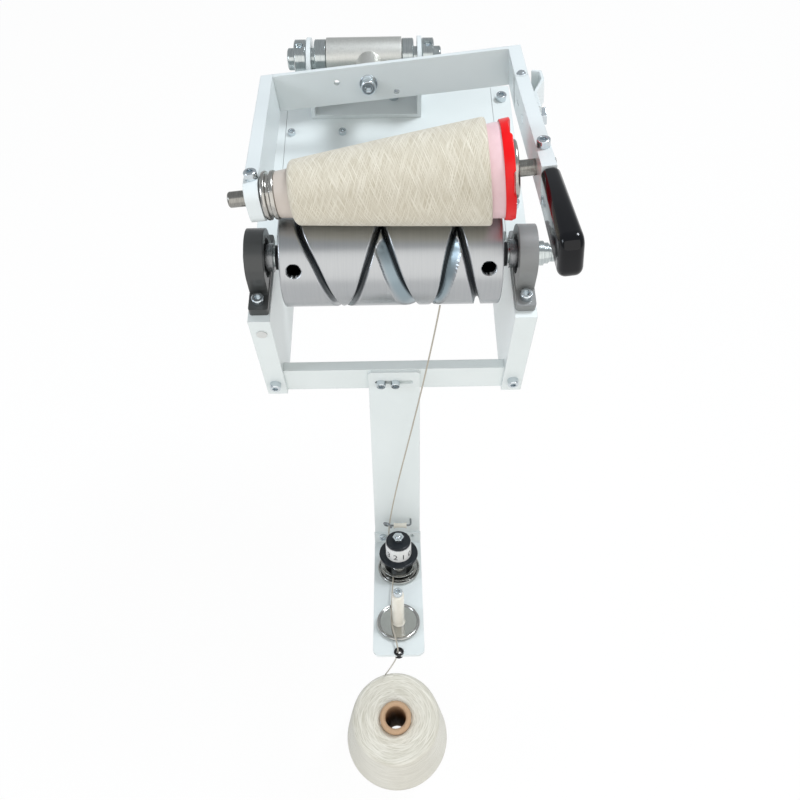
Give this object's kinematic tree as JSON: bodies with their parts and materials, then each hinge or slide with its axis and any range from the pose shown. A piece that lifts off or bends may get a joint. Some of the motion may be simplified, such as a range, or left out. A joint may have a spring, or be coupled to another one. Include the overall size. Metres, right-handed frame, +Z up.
{
  "type": "yarn cone winder",
  "caption": "Drum winding head that winds a tapered cone: grooved drum, swing cradle with lever, disc tensioner, yarn guides and supply package.",
  "frame": {"origin": "centre of the four mounting holes, in the underside of the frame", "axes": "+Z up, +X along the drum towards the lever and the driven end, the operator stands at -Y"},
  "size_m": [0.2583, 0.587, 0.7455],
  "materials": {
    "frame_paint": "off-white stoving enamel, slightly glossy",
    "arm_paint": "off-white stoving enamel",
    "sleeve_iron": "grey cast iron, turned ends",
    "zinc_screw": "bright zinc plating",
    "plug_plastic": "moulded plug",
    "block_iron": "dark paint on casting",
    "block_grey": "grey paint on casting",
    "bearing_steel": "ground rings",
    "shaft_steel": "ground shaft",
    "drum_steel": "turned round the axis",
    "spindle_chrome": "bright chrome",
    "chuck_steel": "turned steel",
    "grip_vinyl": "dipped black vinyl, glossy",
    "tube_pink": "translucent moulded tube",
    "ring_red": "moulded red ring",
    "yarn_cotton": "ecru spun yarn",
    "ceramic": "glazed cream ceramic",
    "black_ceramic": "polished black ceramic",
    "polished_steel": "polished pressings",
    "spring_wire": "drawn wire",
    "dial_black": "moulded dial",
    "dial_white": "numbered band",
    "tube_board": "wound paper tube"
  },
  "bodies": {
    "frame": {"side_plate_left": "frame_paint", "side_plate_right": "frame_paint", "front_cross_member": "frame_paint", "tie_bars": "frame_paint", "top_cover": "frame_paint", "frame_screws": "zinc_screw", "cover_screws": "zinc_screw", "hole_plug": "plug_plastic", "pillow_block_left": "block_iron", "pillow_block_right": "block_grey", "bearing_outer_rings": "bearing_steel", "pillow_screws": "zinc_screw", "pivot_bracket": "arm_paint", "bracket_screws": "zinc_screw", "pivot_shaft": "shaft_steel", "pivot_collars": "shaft_steel", "collar_set_screws": "zinc_screw", "feed_plate": "frame_paint", "feed_screws": "zinc_screw", "tension_shelf": "frame_paint", "shelf_screw": "zinc_screw", "yarn_eyelet": "black_ceramic", "tension_saucer": "polished_steel", "ceramic_post": "ceramic", "post_screw": "zinc_screw", "tension_cup": "polished_steel", "tension_stud": "zinc_screw", "stud_nuts": "zinc_screw", "tension_spring": "spring_wire", "pigtail_hook": "spring_wire", "guide_ceramic": "ceramic", "supply_yarn": "yarn_cotton", "supply_tube": "tube_board", "yarn": "yarn_cotton"},
    "drum": {"winding_drum": "drum_steel", "drum_set_screws": "zinc_screw", "drum_shaft": "shaft_steel", "drive_collar": "shaft_steel", "bearing_inner_rings": "bearing_steel"},
    "cradle": {"pivot_sleeve": "sleeve_iron", "yoke_bolt": "zinc_screw", "yoke_crossbar": "arm_paint", "left_arm": "arm_paint", "left_spindle": "spindle_chrome", "left_clamp_screw": "zinc_screw", "lever_pin": "zinc_screw"},
    "lever": {"lever_arm": "arm_paint", "lever_side_bracket": "arm_paint", "lever_side_bolt": "zinc_screw", "lever_spindle": "spindle_chrome", "lever_clamp_screw": "zinc_screw", "lever_grip": "grip_vinyl"},
    "cone": {"small_end_chuck": "chuck_steel", "cone_tube": "tube_pink", "cone_end_ring": "ring_red", "wound_yarn": "yarn_cotton"},
    "base_chuck": {"base_chuck": "chuck_steel"},
    "tension_knob": {"tension_knob": "dial_black", "dial_band": "dial_white"},
    "tension_discs": {"tension_discs": "polished_steel"}
  },
  "joints": [
    {"name": "drum_spin", "type": "hinge", "parent": "frame", "child": "drum", "pos_m": [0.002, -0.094, 0.137], "axis": [1, 0, 0], "continuous": true},
    {"name": "cradle_lift", "type": "hinge", "parent": "frame", "child": "cradle", "pos_m": [-0.018, 0.1215, 0.161], "axis": [-1, 0, 0], "range_deg": [0, 50]},
    {"name": "lever_open", "type": "hinge", "parent": "cradle", "child": "lever", "pos_m": [0.10912, 0.02902, 0.19459], "axis": [-0.1033, 0.2112, 0.972], "range_deg": [0, 18]},
    {"name": "cone_spin", "type": "hinge", "parent": "cradle", "child": "cone", "pos_m": [-0.08305, -0.08691, 0.19936], "axis": [0.9947, 0.0219, 0.1009], "continuous": true},
    {"name": "base_chuck_spin", "type": "hinge", "parent": "lever", "child": "base_chuck", "pos_m": [0.08654, -0.08317, 0.21657], "axis": [0.9947, 0.0219, 0.1009], "continuous": true},
    {"name": "tension_dial", "type": "hinge", "parent": "frame", "child": "tension_knob", "pos_m": [0.001, -0.25756, -0.16171], "axis": [0, 0.342, 0.9397], "range_deg": [0, 330]},
    {"name": "disc_spin", "type": "hinge", "parent": "frame", "child": "tension_discs", "pos_m": [0.001, -0.25756, -0.16171], "axis": [0, 0.342, 0.9397], "continuous": true}
  ],
  "couplings": [
    {"joint": "cone_spin", "follows": "drum_spin", "ratio": -1.2632},
    {"joint": "base_chuck_spin", "follows": "drum_spin", "ratio": -1.2632}
  ]
}
